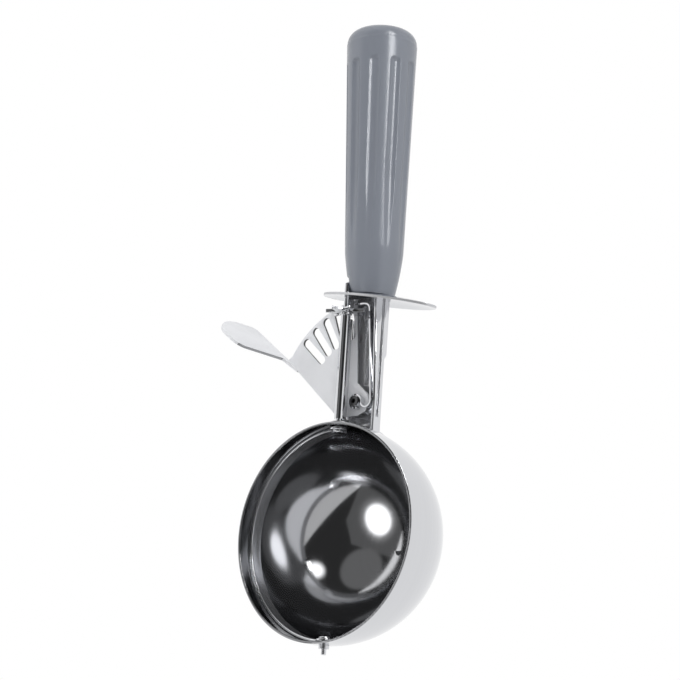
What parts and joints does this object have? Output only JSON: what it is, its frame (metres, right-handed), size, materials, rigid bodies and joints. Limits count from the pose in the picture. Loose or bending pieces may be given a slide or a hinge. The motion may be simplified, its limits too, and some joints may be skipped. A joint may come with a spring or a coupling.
{
  "type": "ice cream scoop",
  "caption": "Thumb-lever ice cream scoop: polished hemispherical bowl with a sweeping scraper blade, slotted sector and star wheel drive, oval guard and fluted grey grip",
  "frame": {"origin": "centre of the bowl's rim, in the rim's plane", "axes": "-Y out of the bowl's open side, +Z from the bowl up the shank to the end of the grip, +X to the right with the thumb lever on the left"},
  "size_m": [0.0829, 0.0575, 0.2164],
  "materials": {
    "polished_steel": "mirror-polished stainless steel",
    "steel": "satin stainless steel",
    "grip": "semi-gloss moulded grey plastic"
  },
  "bodies": {
    "frame": {"bowl": "polished_steel", "top_bush": "steel", "tip_bush": "steel", "bowl_bracket": "steel", "shank_channel": "polished_steel", "bearing_tube": "polished_steel", "guard_plate": "polished_steel", "handle_tang": "steel", "tang_rivets": "steel", "handle_grip": "grip", "lever_pin": "steel", "lever_spacer": "steel", "pin_washer": "steel", "return_spring": "polished_steel"},
    "lever": {"thumb_lever": "steel", "lever_barrel": "steel"},
    "blade": {"drive_shaft": "steel", "star_pinion": "steel", "scraper_blade": "polished_steel", "tip_pin": "steel"}
  },
  "joints": [
    {"name": "lever_press", "type": "hinge", "parent": "frame", "child": "lever", "pos_m": [0.004, 0.0048, 0.045], "axis": [0, 1, 0], "range_deg": [0, 31.5], "stiffness_Nm_per_rad": 0.8, "springref_deg": -20.05},
    {"name": "blade_sweep", "type": "hinge", "parent": "frame", "child": "blade", "pos_m": [0, 0.0048, 0], "axis": [0, 0, 1], "range_deg": [-180, 0]}
  ],
  "couplings": [
    {"joint": "blade_sweep", "follows": "lever_press", "ratio": -5.7143}
  ]
}
